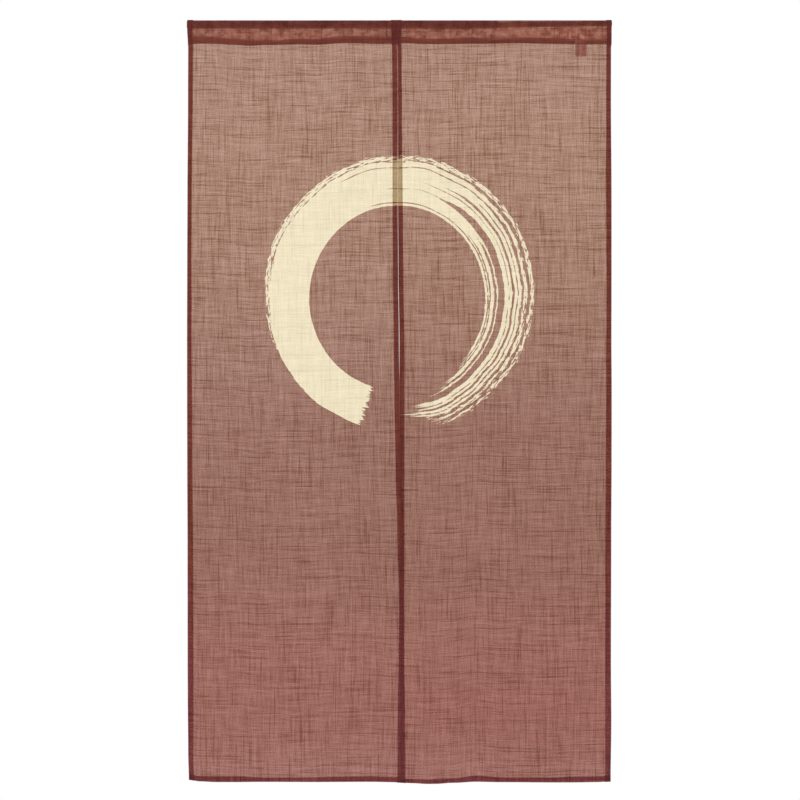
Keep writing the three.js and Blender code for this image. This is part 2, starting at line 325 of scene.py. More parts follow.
class DyeSettings(bpy.types.PropertyGroup):
    """Colours of the cloth, the print and the tabs, with painted light in the cloth's tones near
    the top and the foot, in the hems and in the pocket.
    """

    lit: colour_property("Dye, lit", "Light that dyed threads send back", "#7E3C39")
    through: colour_property("Dye, shone through", "Light that dyed threads let through", "#8D6144")
    # Painted light: a lighter, yellower tone near the top and a redder one near the foot, for how
    # the light fell there
    through_top_painted_light: colour_property(
        "Dye, shone through near the top", "Light that the stretched threads let through", "#A17548"
    )
    through_foot_painted_light: colour_property(
        "Dye, shone through near the foot", "Light that the slack threads let through", "#995C48"
    )
    # Painted light: lighter tones for the hems and the pocket than for the single cloth, and a
    # pinker one for the hems near the foot
    through_hem_painted_light: colour_property(
        "Dye, shone through in hems", "Light that pressed threads let through", "#B88B6E"
    )
    through_hem_foot_painted_light: colour_property(
        "Dye, shone through in hems near the foot", "Light that such threads let on", "#C09196"
    )
    through_pocket_painted_light: colour_property(
        "Dye, shone through in the pocket", "Light that gathered threads let through", "#C68D68"
    )
    thread: colour_property("Sewing thread", "Colour of the sewing thread", "#4A1F1C")
    ribbon: colour_property("Ribbon, lit", "Light that the undyed ribbon sends back", "#F3E2E4")
    ribbon_through: colour_property(
        "Ribbon, shone through", "Light that the undyed ribbon lets through", "#EED8DC"
    )
    tinted: colour_property(
        "Tinted ribbon, lit", "Light that the tinted ribbon sends back", "#EAC8CE"
    )
    tinted_through: colour_property(
        "Tinted ribbon, shone through", "Light that the tinted ribbon lets through", "#E4BEC6"
    )
    print_lit: colour_property("Print, lit", "Light that printed threads send back", "#E0CF98")
    print_through: colour_property(
        "Print, shone through", "Light that printed threads let through", "#EBE2CF"
    )
    open_hem: share_property(
        "Open share in hems", "Share of the cloth's area that is open in a hem's layer", 0.12
    )
    # Painted light: the pocket's larger open share paints it lighter
    open_pocket_painted_light: share_property(
        "Open share in the pocket", "Share of the area that is open in the rod pocket", 0.16
    )


class RingSettings(bpy.types.PropertyGroup):
    """The printed ring, one stroke of a wide brush between two circles a little out of centre."""

    centre_x: length_property("Centre X", "Middle of the ring along the rod", -0.002)
    centre_z: length_property("Centre Z", "Height of the ring's middle", -0.539)
    outer: length_property("Outer radius", "Radius of the stroke's outer circle", 0.272)
    inner: length_property("Inner radius", "Radius of the stroke's inner circle", 0.181)


class PaintSettings(bpy.types.PropertyGroup):
    """Colours of the rod and the floor."""

    coat: colour_property("Coat", "Baked coat of the rod's tubes", "#3A211D")
    rubbed: colour_property("Rubbed coat", "The coat where it is rubbed", "#5C3D34")
    rubber: colour_property("Rubber", "The end pads", "#2C201D")
    dusty: colour_property("Dusty rubber", "The end pads where dust clings", "#4A403B")
    floor: colour_property("Floor", "The floor's darker tone", "#F1F0EE")
    floor_light: colour_property("Floor, light", "The floor's lighter tone", "#F6F5F3")


class StudioSettings(bpy.types.PropertyGroup):
    """The floor, the lights and the camera."""

    floor_drop: length_property("Floor", "Depth of the floor under the rod", 2.0)
    distance: length_property("Camera distance", "From the camera to the curtain", 9.0)
    view_height: length_property("View height", "Height of the camera over the rod", -0.7534)
    framed: length_property("Framed height", "Height that the picture takes in", 1.606)
    key: power_property("Key light", "Power of the large soft light", 70.0)
    fill: power_property("Fill light", "Power of the weak light beside it", 20.0)


def ease(t):
    s = np.clip(t, 0.0, 1.0)
    return s * s * (3.0 - 2.0 * s)


def follow(table, at, column):
    """The value of one column of a table at places along its first, eased from row to row."""
    rows = sorted(table)
    places = np.array([row[0] for row in rows])
    values = np.array([row[column] for row in rows])
    at = np.clip(at, places[0], places[-1])
    i = np.clip(np.searchsorted(places, at), 1, len(rows) - 1)
    share = ease((at - places[i - 1]) / (places[i] - places[i - 1]))
    return values[i - 1] + (values[i] - values[i - 1]) * share


def hang(panel, x, z):
    """Depth of a panel's middle surface below the stitch line."""
    drop = np.clip((follow(STITCH_LINE, x, 1) - z) / HANGING, 0.0, PAST_FOOT)
    depth = np.zeros_like(drop)
    for size, length, start, power in WAVES:
        depth += size * drop ** power * np.sin(2 * math.pi * (x - start) / length)
    parted = ease((drop - PARTING[0]) / (PARTING[1] - PARTING[0]))
    depth += panel["apart"] * parted * ease(1 - np.abs(x - SLIT_X) / SLIT_REACH)
    curl = panel["curl"]
    across = ease(1 - np.abs(x - curl["x"]) / curl["width"])
    return depth + curl["depth"] * across * ease(1 - np.abs(z - curl["z"]) / curl["height"])


def uneven(x, z, length, height, seed):
    """Smooth irregular values from about -1 to 1, one for each point."""
    points = zip(np.ravel(x) / length, np.ravel(z) / height)
    values = [2.0 * noise.noise(Vector((px, pz, seed))) for px, pz in points]
    return np.reshape(values, np.shape(x))


def seam_gathers(settings, x, z):
    """How far the heading seam draws the cloth in and out where it is sewn."""
    return settings.pucker * uneven(x, z, PUCKER_LENGTH, 1.0, PUCKER_SEED)


def unit(vectors):
    """The same directions at a length of 1, or 0 for a vector without a direction."""
    lengths = np.linalg.norm(vectors, axis=-1, keepdims=True)
    return vectors / np.where(lengths > 0.0, lengths, 1.0)


def new_mesh_object(name, points, faces):
    mesh = bpy.data.meshes.new(name)
    mesh.from_pydata(points, [], faces)
    mesh.update()
    made = bpy.data.objects.new(name, mesh)
    bpy.context.scene.collection.objects.link(made)
    return made


def grid_faces(rows, columns):
    faces = []
    for r in range(rows - 1):
        for c in range(columns - 1):
            corner = r * columns + c
            faces.append((corner, corner + 1, corner + columns + 1, corner + columns))
    return faces


# Columns of a side hem from its cut edge to the cloth: (share of the hem's width from the side
# edge, layer counted from the front, distance in from the edge of the fold)
HEM_COLUMNS = [
    (0.10, 1.0, 0.0),
    (0.50, 1.0, 0.0),
    (0.94, 1.0, 0.0),
    (1.00, 1.5, 0.0),
    (0.94, 2.0, 0.0),
    (0.86, 2.0, 0.0),
    (0.50, 2.0, 0.0),
    (0.07, 2.0, 0.0),
    (0.00, 1.75, 0.00012),
    (0.00, 1.0, 0.0),
    (0.00, 0.25, 0.00012),
    (0.07, 0.0, 0.0),
    (0.30, 0.0, 0.0),
    (0.58, 0.0, 0.0),
    (0.86, 0.0, 0.0),
    (1.00, 0.0, 0.0),
]

# Layers of a hem, and the width beside it in which the cloth gets down to its single layer
HEM_LAYERS = 3
HEM_RAMP = 0.0025

# Shares of a hem's height or width: its stitches, its rows, and where a fold's edge begins
STITCHED_SHARE = 0.86
TURNED_ROWS = (0.08, 0.5, 0.93)
OUTER_ROWS = (0.09, 0.5)
FOLD_EDGE = 0.93

# The round edge of a fold: (share of the way between its layers, share of the full reach), and
# the full reach as a share of the distance between them
ROLL_STEPS = [(0.12, 0.6), (0.5, 1.0), (0.88, 0.6)]
ROLL = 0.35

# About the height of the seam, and how far below it the rows are closer
SEAM_HEIGHT = -0.04
NEAR_SEAM = 0.03
NEAR_ROWS = 8

# Depth of the front layer, a little before the middle of the hanging cloth
FRONT_FACE = -0.0002

# The rod pocket: its ease around the rod, the slack of its walls, the share of a wall where its
# rows start and their number, rows over the rod, height of the seam's stitches over the stitch
# line, height of the fold at the back, rows of the turned strip, and how softly the strip ends
POCKET_EASE = 0.00035
WALL_SLACK = 0.0007
WALL_FOOT = 0.12
WALL_ROWS = 13
ROWS_OVER_ROD = 16
SEAM_IN = 0.0014
BACK_FOLD = 0.0003
STRIP_ROWS = (0.04, 0.25, 0.5, 0.75, 1.0)
POCKET_FADE = 0.002

# Gathers that the heading seam draws, which fade below it, and creases in the pocket's walls
PUCKER_LENGTH = 0.013
PUCKER_REACH = 0.022
PUCKER_SEED = 3.7
CREASE_LENGTH = 0.017
CREASE_HEIGHT = 0.009
FRONT_CREASES = 8.1
BACK_CREASES = 15.3

# How a stitch stands on the cloth in its middle and dips in at its ends, in thread radii
STITCH_STAND = 0.6
STITCH_DIP = 1.4

# The tabs: their length inside and below the seam, how far the foot stands off and the sides cup,
# and their grid lines across and down
TAB_INSIDE = 0.011
TAB_HANG = 0.0245
TAB_STAND = 0.0009
TAB_CUP = 0.0004
TAB_GRID = (7, 22)


class PanelCloth:
    """The grid of one panel's cloth, from its cut edge in the foot hem, up the front, over the rod
    and down to its cut edge inside the heading, and from one side's cut edge to the other's.

    Each column has the side that it belongs to, -1 or 1 in a side hem and 0 between, its share of
    the way across, and its layer. A row of the foot hem or the heading lays them over again.
    """

    def __init__(self, panel, settings):
        self.panel = panel
        self.layer = settings.layer
        self.settings = settings
        sides = panel["sides"]
        width = sides[0][2] - sides[0][1]
        count = round(width / settings.step)
        left = [(-1, share, layer, inset) for share, layer, inset in HEM_COLUMNS]
        body = [(0, i / count, 0.0, 0.0) for i in range(count + 1)]
        right = [(1, share, layer, inset) for share, layer, inset in reversed(HEM_COLUMNS)]
        table = np.array(left + body + right)
        self.side, self.share, self.turn, self.inset = table.T
        self.stack = np.where(self.side == 0, 1, HEM_LAYERS)
        self.rows = []
        self.marks = {}

    def column_x(self, z):
        panel = self.panel
        left = follow(panel["sides"], z, 1)
        right = follow(panel["sides"], z, 2)
        left_hem = follow(panel["hems"], z, 1)
        right_hem = follow(panel["hems"], z, 2)
        inner_left = left + left_hem + HEM_RAMP
        inner_right = right - right_hem - HEM_RAMP
        body = inner_left + (inner_right - inner_left) * self.share
        on_left = left + self.share * left_hem + self.inset
        on_right = right - self.share * right_hem - self.inset
        return np.where(self.side == 0, body, np.where(self.side < 0, on_left, on_right))

    def add_row(self, z, y, mark=None):
        if mark:
            self.marks[mark] = len(self.rows)
        self.rows.append(np.stack([self.column_x(z), y, z], axis=1))

    def hung_row(self, z, depth, mark=None):
        x = self.column_x(z)
        below = np.maximum(follow(STITCH_LINE, x, 1) - z, 0.0)
        gathered = seam_gathers(self.settings, x, z) * np.exp(-below / PUCKER_REACH)
        y = hang(self.panel, x, z) + FRONT_FACE + gathered + depth * self.layer
        self.add_row(z, y, mark)

    def roll(self, z, start, end, way):
        """The rows of a fold's round edge, between two depths counted in layers."""
        reach = np.abs(end - start) * self.layer * ROLL
        for share, out in ROLL_STEPS:
            self.hung_row(z + way * reach * out, start + (end - start) * share)

    def foot_hem(self):
        """The rows of the foot hem, from the cut edge between its front and its back."""
        x = self.column_x(np.full(len(self.side), self.panel["foot"][0][1]))
        edge = follow(self.panel["foot"], x, 1)
        hem = follow(self.panel["foot"], x, 2)
        stack, turn = self.stack, self.turn
        inside = stack + turn
        back = HEM_LAYERS * stack - 1 - turn
        for share in TURNED_ROWS:
            self.hung_row(edge + share * hem, inside)
        self.roll(edge + hem, inside, back, 1)
        self.hung_row(edge + FOLD_EDGE * hem, back)
        self.hung_row(edge + STITCHED_SHARE * hem, back, "foot_back")
        for share in reversed(OUTER_ROWS):
            self.hung_row(edge + share * hem, back)
        self.roll(edge, back, turn, -1)
        for share in OUTER_ROWS:
            self.hung_row(edge + share * hem, turn)
        self.hung_row(edge + STITCHED_SHARE * hem, turn, "foot_front")
        self.hung_row(edge + hem, turn)
        return edge + hem

    def body(self, start):
        """The rows from the foot hem up to the stitch line."""
        x = self.column_x(np.full(len(self.side), SEAM_HEIGHT))
        stitch = follow(STITCH_LINE, x, 1)
        count = round((HANGING - NEAR_SEAM) / self.settings.step)
        for i in range(1, count + 1):
            self.hung_row(start + (stitch - NEAR_SEAM - start) * i / count, self.turn)
        for i in range(1, NEAR_ROWS + 1):
            self.hung_row(stitch - NEAR_SEAM * (1 - i / NEAR_ROWS), self.turn)
        return stitch

    def heading(self, stitch):
        """The rows of the rod pocket, up its front, over the rod and down its back."""
        settings, layer = self.settings, self.layer
        stack, turn = self.stack, self.turn
        x = self.column_x(stitch)
        rise = follow(POCKET_TOP, x, 2)
        outer = follow(POCKET_TOP, x, 1) + POCKET_EASE + (stack - 1) * layer
        lean = np.arcsin(outer / (rise - stitch))
        side_z = rise - outer * np.sin(lean)
        front_y = -outer * np.cos(lean)
        back_y = outer * np.cos(lean)
        seam_back = FRONT_FACE + (HEM_LAYERS * stack - 1) * layer
        gathered = seam_gathers(settings, x, stitch)

        def up(z):
            """Share of the way up a wall, from the stitch line to where it meets the rod."""
            return np.clip((z - stitch) / (side_z - stitch), 0.0, 1.0)

        def slack(z):
            return np.sin(math.pi * up(z))

        def creased(z, seed):
            crease = settings.crease * uneven(x, z, CREASE_LENGTH, CREASE_HEIGHT, seed)
            return crease * slack(z) ** 2 + gathered * (1 - up(z)) ** 2

        def front(z):
            wall = FRONT_FACE + (front_y - FRONT_FACE) * up(z) - WALL_SLACK * slack(z)
            return wall + turn * layer + creased(z, FRONT_CREASES)

        def back(z):
            wall = seam_back + (back_y - seam_back) * up(z) + WALL_SLACK * slack(z)
            return wall + creased(z, BACK_CREASES)

        seam = stitch + SEAM_IN
        self.add_row(seam, front(seam), "heading_front")
        for share in np.linspace(WALL_FOOT, 1.0, WALL_ROWS):
            z = stitch + (side_z - stitch) * share
            self.add_row(z, front(z))
        radius = outer - turn * layer
        for i in range(1, ROWS_OVER_ROD):
            angle = math.pi + lean - (math.pi + 2 * lean) * i / ROWS_OVER_ROD
            self.add_row(rise + radius * np.sin(angle), radius * np.cos(angle))
        for share in np.linspace(1.0, WALL_FOOT, WALL_ROWS):
            z = stitch + (side_z - stitch) * share
            self.add_row(z, back(z) - turn * layer)
        self.add_row(seam, back(seam) - turn * layer, "heading_back")
        self.add_row(stitch + BACK_FOLD, back(stitch) - turn * layer)
        self.turned_strip(stitch, back)

    def turned_strip(self, stitch, back):
        """The heading's end, turned under between the pocket's back and its front."""
        layer, turn = self.layer, self.turn
        top = follow(TURNED_STRIP, self.column_x(stitch), 1)
        under = 2 * self.stack - 1 - turn
        for share, out in ROLL_STEPS:
            z = stitch - (under - turn) * layer * ROLL * out
            self.add_row(z, back(z) - (turn + (under - turn) * share) * layer)
        for share in STRIP_ROWS:
            z = stitch + top * share
            self.add_row(z, back(z) - under * layer)

    def printed(self, rows):
        """1 on the front layer, which takes the print, and 0 on layers that are turned in."""
        return np.broadcast_to(np.clip(1.0 - self.turn, 0.0, 1.0), (rows, len(self.turn)))

    def folded(self, rows):
        """1 where the cloth lies in layers, in a hem or in the heading, and 0 where single."""
        hems = (self.side != 0) & ((self.turn > 0) | (self.share < 1.0))
        in_hem = np.broadcast_to(hems.astype(float), (rows, len(self.side))).copy()
        in_hem[:self.marks["foot_front"] + 1] = 1.0
        in_hem[self.marks["heading_front"]:] = 1.0
        return in_hem

    def in_pocket(self, grid):
        """1 in the pocket above the turned strip, whose cloth is crumpled on the rod and takes
        painted crease shade and a lighter painted tone, and 0 below it and in the side hems."""
        x, z = grid[:, :, 0], grid[:, :, 2]
        strip_top = follow(STITCH_LINE, x, 1) + follow(TURNED_STRIP, x, 1)
        return np.clip((z - strip_top) / POCKET_FADE + 0.5, 0.0, 1.0) * (self.side == 0)

    def build(self):
        hem_top = self.foot_hem()
        stitch = self.body(hem_top)
        self.heading(stitch)
        return np.array(self.rows)


def cut_places(grid, bolt):
    """Each grid point's place on the flat cut cloth, in metres."""
    middle_row, middle_column = len(grid) // 2, grid.shape[1] // 2
    across = np.linalg.norm(np.diff(grid[middle_row], axis=0), axis=1)
    along = np.linalg.norm(np.diff(grid[:, middle_column], axis=0), axis=1)
    u = np.concatenate([[0.0], np.cumsum(across)]) + bolt[0]
    v = np.concatenate([[0.0], np.cumsum(along)]) + bolt[1]
    return np.meshgrid(u, v)


def right_sides(grid):
    """Unit normals on the cloth's right side, at each grid point."""
    along = np.gradient(grid, axis=0)
    across = np.gradient(grid, axis=1)
    return unit(np.cross(across, along))


def sew(points, normals, settings, pattern):
    """Stitches along a line on the cloth, each a copy of the pattern's points."""
    steps = np.linalg.norm(np.diff(points, axis=0), axis=1)
    place = np.concatenate([[0.0], np.cumsum(steps)])
    made = []
    count = int(place[-1] / settings.stitch_pitch)
    for i in range(count):
        middle = (i + 0.5) * settings.stitch_pitch
        ends = [middle - settings.stitch_long / 2, middle + settings.stitch_long / 2]
        a, b = [np.array([np.interp(end, place, points[:, k]) for k in range(3)]) for end in ends]
        out = np.array([np.interp(middle, place, normals[:, k]) for k in range(3)])
        along = unit(b - a)
        out = unit(out - along * np.dot(out, along))
        beside = np.cross(out, along)
        made.append((a + b) / 2 + pattern @ np.array([along, beside, out]))
    return made


def stitch_pattern(settings):
    """One stitch of thread: a thin spindle that lies on the cloth and dips in at both ends."""
    bpy.ops.object.select_all(action="DESELECT")
    bpy.ops.mesh.primitive_uv_sphere_add(segments=5, ring_count=4, radius=1.0)
    spindle = bpy.context.active_object
    bpy.ops.object.mode_set(mode="EDIT")
    bpy.ops.mesh.select_all(action="SELECT")
    bpy.ops.transform.rotate(value=math.pi / 2, orient_axis="Y", center_override=(0, 0, 0))
    size = (settings.stitch_long / 2, settings.thread, settings.thread)
    bpy.ops.transform.resize(value=size, center_override=(0, 0, 0))
    bpy.ops.object.mode_set(mode="OBJECT")
    points = np.array([v.co[:] for v in spindle.data.vertices])
    faces = [tuple(face.vertices) for face in spindle.data.polygons]
    mesh = spindle.data
    bpy.data.objects.remove(spindle)
    bpy.data.meshes.remove(mesh)
    dip = np.abs(points[:, 0]) / (settings.stitch_long / 2)
    points[:, 2] += settings.thread * (STITCH_STAND - STITCH_DIP * dip ** 2)
    return points, faces


def add(tree, kind, inputs=None, output=0, **settings):
    """Adds a shader node with its settings, sets or links its inputs, and returns an output."""
    made = tree.nodes.new("ShaderNode" + kind)
    for key, value in settings.items():
        setattr(made, key, value)
    for key, value in (inputs or {}).items():
        if isinstance(value, bpy.types.NodeSocket):
            tree.links.new(value, made.inputs[key])
        else:
            made.inputs[key].default_value = value
    return made.outputs[output]


SMOOTH = {"interpolation_type": "SMOOTHSTEP"}


def new_material(name):
    """An empty material, its node tree and the socket that takes the finished surface."""
    material = bpy.data.materials.new(name)
    material.use_nodes = True
    tree = material.node_tree
    tree.nodes.clear()
    return material, tree, tree.nodes.new("ShaderNodeOutputMaterial").inputs["Surface"]


# Threads of the weave. Each has its own thickness, which changes along it, and is drawn a little
# coarser than the real 0.8 mm pitch so that it shows:
# (pitch, length of a thick stretch, seed, how much it shows, how much its slubs add)
WEFT = [
    (0.0011, 0.026, 1.3, 0.98, 0.0),
    (0.0018, 0.100, 5.9, 0.74, 0.30),
]
WARP = [
    (0.0012, 0.030, 9.1, 0.90, 0.0),
    (0.0019, 0.078, 12.7, 0.66, 0.24),
]
NEXT_THREAD = 7.31

# A stretch counts as a slub from the first thickness, and is a full one at the second
SLUB_FROM = 0.62
SLUB_FULL = 0.80

# How far the weft wavers, and slow changes of thickness and short knots that go over both ways
WAVER = 0.0012
WAVER_LENGTH = 0.13
BATCH = 0.14
BATCH_LENGTH = 0.11
KNOTS = 1.15
KNOT_LENGTH = 0.0024


def thread_thickness(tree):
    """How much thicker than usual the threads are at a place, below 0 where they are thin."""
    place = add(tree, "UVMap", uv_map=CUT_MAP)
    u = add(tree, "SeparateXYZ", {0: place}, "X")
    v = add(tree, "SeparateXYZ", {0: place}, "Y")
    drift = add(
        tree, "TexNoise", {"Vector": place, "Scale": 1 / WAVER_LENGTH, "Detail": 0.0}, "Fac"
    )
    v = add(tree, "Math", {0: drift, 1: WAVER, 2: v}, operation="MULTIPLY_ADD")
    batch = add(
        tree, "TexNoise", {"Vector": place, "Scale": 1 / BATCH_LENGTH, "Detail": 1.0}, "Fac"
    )
    total = add(tree, "Math", {0: batch, 1: BATCH, 2: -BATCH / 2}, operation="MULTIPLY_ADD")
    knots = add(
        tree, "TexNoise", {"Vector": place, "Scale": 1 / KNOT_LENGTH, "Detail": 1.0}, "Fac"
    )
    knots = add(tree, "Math", {0: knots, 1: 0.5}, operation="SUBTRACT")
    total = add(tree, "Math", {0: knots, 1: KNOTS, 2: total}, operation="MULTIPLY_ADD")
    for along, across, threads in ((u, v, WEFT), (v, u, WARP)):
        for pitch, length, seed, shows, slubs in threads:
            number = add(tree, "Math", {0: across, 1: pitch}, operation="DIVIDE")
            number = add(tree, "Math", {0: number}, operation="FLOOR")
            lengthways = add(tree, "Math", {0: along, 1: length}, operation="DIVIDE")
            crossways = add(tree, "Math", {0: number, 1: NEXT_THREAD}, operation="MULTIPLY")
            spot = add(tree, "CombineXYZ", {0: lengthways, 1: crossways, 2: seed})
            grain = add(tree, "TexNoise", {"Vector": spot, "Scale": 1.0, "Detail": 0.0}, "Fac")
            uneven_part = add(tree, "Math", {0: grain, 1: 0.5}, operation="SUBTRACT")
            total = add(
                tree, "Math", {0: uneven_part, 1: shows, 2: total}, operation="MULTIPLY_ADD"
            )
            if slubs:
                slub = add(
                    tree,
                    "MapRange",
                    {"Value": grain, "From Min": SLUB_FROM, "From Max": SLUB_FULL, "To Max": slubs},
                    **SMOOTH,
                )
                total = add(tree, "Math", {0: total, 1: slub}, operation="ADD")
    return total


# Gaps that the drying brush leaves, from the stroke's inner edge at 0 to its outer edge at 1:
# (place, half width when full, angle from the bottom where it opens, angle where it is full)
GAPS = [
    (0.900, 0.014, 80, 105),
    (0.905, 0.040, 180, 225),
    (0.775, 0.009, 140, 158),
    (0.780, 0.030, 200, 240),
    (0.680, 0.010, 196, 230),
    (0.585, 0.024, 184, 222),
    (0.500, 0.006, 176, 200),
    (0.345, 0.007, 160, 176),
    (0.335, 0.068, 184, 230),
    (0.210, 0.026, 214, 252),
    (0.105, 0.012, 206, 240),
    (0.060, 0.010, 150, 168),
]

# Where the brush is dry: (place across the stroke from, to, angle from, to, how dry). The last row
# is the whole width, which dries a little as the stroke goes on.
DRY = [
    (0.84, 0.94, 30, 80, 1.0),
    (0.55, 0.95, 190, 250, 1.0),
    (-1.0, -0.5, 130, 300, 0.25),
]

# Marks that the bristles leave: (length, spacing, seed, depth where the brush is wet, where dry)
BRISTLE_MARKS = [
    (0.130, 0.0030, 4.4, 0.0018, 0.010),
    (0.014, 0.0030, 9.9, 0.0014, 0.018),
]

# Depth of the ink where the brush is wet and where it is dry, and how soft its edge is
THICK_INK = 0.020
THIN_INK = 0.0008
INK_EDGE = 0.0004

# The stroke's two circles: how they differ from round, and from each other's centre
OUTER_WANDER = 0.012
WANDER_RATE = 2.3
OUTER_OVAL = 0.003
INNER_OVAL = 0.0045
INNER_SHIFT = (-0.0035, -0.0095)

# How far a gap wanders across the stroke, and how narrow it counts while it is still shut
GAP_WANDER = 0.03
SHUT_GAP = -0.03

# Clumps of bristles across the brush, which touch down and lift off at angles that differ by the
# spreads, in degrees. The last to lift are at LAST_PLACE across the stroke, and the others bow
# back from there. The ink gets thin towards both ends, by its distance from the start times
# START_SHARPNESS and by INK_PER_DEGREE before the end.
CLUMPS = 24.0
CLUMP_SEED = 7.7
STROKE_START = 16.3
START_SPREAD = 9.0
START_SHARPNESS = 0.8
STROKE_END = 352.0
END_SPREAD = 40.0
END_BOW = 110.0
INK_PER_DEGREE = 0.00016
LAST_PLACE = 0.6


def brushed_ring(tree, ring):
    """Where the ring is printed: 1 on ink and 0 on bare cloth."""
    front = add(tree, "TexCoord", output="Object")

    # The place seen from each circle's centre, with both ways turned round
    seen = []
    for right, up in ((0.0, 0.0), INNER_SHIFT):
        centre = (ring.centre_x + right, 0, ring.centre_z + up)
        turned = {"Vector": front, "Scale": (-1, 0, -1), "Location": centre}
        seen.append(add(tree, "Mapping", turned))
    radius, inner_radius = [
        add(tree, "VectorMath", {0: place}, "Value", operation="LENGTH") for place in seen
    ]
    x = add(tree, "SeparateXYZ", {0: seen[0]}, "X")
    z = add(tree, "SeparateXYZ", {0: seen[0]}, "Z")
    angle = add(tree, "Math", {0: x, 1: z}, operation="ARCTAN2")
    angle = add(tree, "Math", {0: angle, 1: 2 * math.pi, 2: 0.0}, operation="WRAP")
    degrees = add(tree, "Math", {0: angle}, operation="DEGREES")
    wander = add(
        tree,
        "TexNoise",
        {"W": angle, "Scale": WANDER_RATE, "Detail": 1.0},
        "Fac",
        noise_dimensions="1D",
    )

    # Both circles are a little taller than wide, and the outer one wanders as a hand does
    oval = add(tree, "Math", {0: angle, 1: 2.0}, operation="MULTIPLY")
    oval = add(tree, "Math", {0: oval}, operation="COSINE")
    outer = add(tree, "Math", {0: oval, 1: OUTER_OVAL, 2: ring.outer}, operation="MULTIPLY_ADD")
    outer = add(tree, "Math", {0: wander, 1: OUTER_WANDER, 2: outer}, operation="MULTIPLY_ADD")
    outer = add(tree, "Math", {0: outer, 1: OUTER_WANDER / 2}, operation="SUBTRACT")
    inner = add(tree, "Math", {0: oval, 1: INNER_OVAL, 2: ring.inner}, operation="MULTIPLY_ADD")
    to_outer = add(tree, "Math", {0: outer, 1: radius}, operation="SUBTRACT")
    to_inner = add(tree, "Math", {0: inner_radius, 1: inner}, operation="SUBTRACT")
    width = add(tree, "Math", {0: to_outer, 1: to_inner}, operation="ADD")
    across = add(tree, "Math", {0: to_inner, 1: width}, operation="DIVIDE")

    # How dry the brush is
    dry = 0.0
    for inside, outside, opens, full, amount in DRY:
        reach = add(
            tree,
            "MapRange",
            {"Value": across, "From Min": inside, "From Max": outside, "To Max": amount},
            **SMOOTH,
        )
        late = add(
            tree, "MapRange", {"Value": degrees, "From Min": opens, "From Max": full}, **SMOOTH
        )
        reach = add(tree, "Math", {0: reach, 1: late}, operation="MULTIPLY")
        dry = add(tree, "Math", {0: reach, 1: dry}, operation="MAXIMUM")

    # Marks of the bristles, long and thin along the stroke, and specks
    ragged = 0.0
    for length, spacing, seed, wet_depth, dry_depth in BRISTLE_MARKS:
        along = add(tree, "Math", {0: angle, 1: ring.outer / length}, operation="MULTIPLY")
        beside = add(tree, "Math", {0: radius, 1: spacing}, operation="DIVIDE")
        spot = add(tree, "CombineXYZ", {0: along, 1: beside, 2: seed})
        mark = add(
            tree,
            "TexNoise",
            {"Vector": spot, "Scale": 1.0, "Detail": 2.0, "Roughness": 0.6},
            "Fac",
        )
        mark = add(tree, "Math", {0: mark, 1: 0.5}, operation="SUBTRACT")
        depth = add(tree, "MapRange", {"Value": dry, "To Min": wet_depth, "To Max": dry_depth})
        ragged = add(tree, "Math", {0: mark, 1: depth, 2: ragged}, operation="MULTIPLY_ADD")

    # Distance into the ink from the nearest edge, gap or end, in metres. Where the brush is dry
    # the ink is thin, so that the bristles leave specks bare.
    ink = add(tree, "Math", {0: to_outer, 1: to_inner}, operation="MINIMUM")
    thin = add(tree, "MapRange", {"Value": dry, "To Min": THICK_INK, "To Max": THIN_INK})
    ink = add(tree, "Math", {0: ink, 1: thin}, operation="MINIMUM")
    for place, half, opens, full in GAPS:
        shift = add(
            tree,
            "Math",
            {0: wander, 1: GAP_WANDER, 2: place - GAP_WANDER / 2},
            operation="MULTIPLY_ADD",
        )
        beside = add(tree, "Math", {0: across, 1: shift}, operation="SUBTRACT")
        beside = add(tree, "Math", {0: beside}, operation="ABSOLUTE")
        gap = add(
            tree, "MapRange", {0: degrees, 1: opens, 2: full, 3: SHUT_GAP, 4: half}, **SMOOTH
        )
        clear = add(tree, "Math", {0: beside, 1: gap}, operation="SUBTRACT")
        clear = add(tree, "Math", {0: clear, 1: width}, operation="MULTIPLY")
        ink = add(tree, "Math", {0: ink, 1: clear}, operation="MINIMUM")
    ink = add(tree, "Math", {0: ink, 1: ragged}, operation="ADD")

    # The bristles touch down and lift off at different places
    comb = add(tree, "CombineXYZ", {0: across, 1: 0.0, 2: CLUMP_SEED})
    comb = add(
        tree, "TexNoise", {"Vector": comb, "Scale": CLUMPS, "Detail": 2.0, "Roughness": 0.7}, "Fac"
    )
    start = add(
        tree,
        "Math",
        {0: comb, 1: START_SPREAD, 2: STROKE_START - START_SPREAD / 2},
        operation="MULTIPLY_ADD",
    )
    begun = add(tree, "Math", {0: degrees, 1: start}, operation="SUBTRACT")
    begun = add(
        tree,
        "Math",
        {0: begun, 1: math.radians(1.0) * ring.outer * START_SHARPNESS},
        operation="MULTIPLY",
    )
    ink = add(tree, "Math", {0: ink, 1: begun}, operation="MINIMUM")
    bow = add(tree, "Math", {0: across, 1: LAST_PLACE}, operation="SUBTRACT")
    bow = add(tree, "Math", {0: bow, 1: bow}, operation="MULTIPLY")
    lift = add(
        tree,
        "Math",
        {0: bow, 1: -END_BOW, 2: STROKE_END - END_SPREAD / 2},
        operation="MULTIPLY_ADD",
    )
    lift = add(tree, "Math", {0: comb, 1: END_SPREAD, 2: lift}, operation="MULTIPLY_ADD")
    left = add(tree, "Math", {0: lift, 1: degrees}, operation="SUBTRACT")
    left = add(tree, "Math", {0: left, 1: INK_PER_DEGREE}, operation="MULTIPLY")
    ink = add(tree, "Math", {0: ink, 1: left}, operation="MINIMUM")

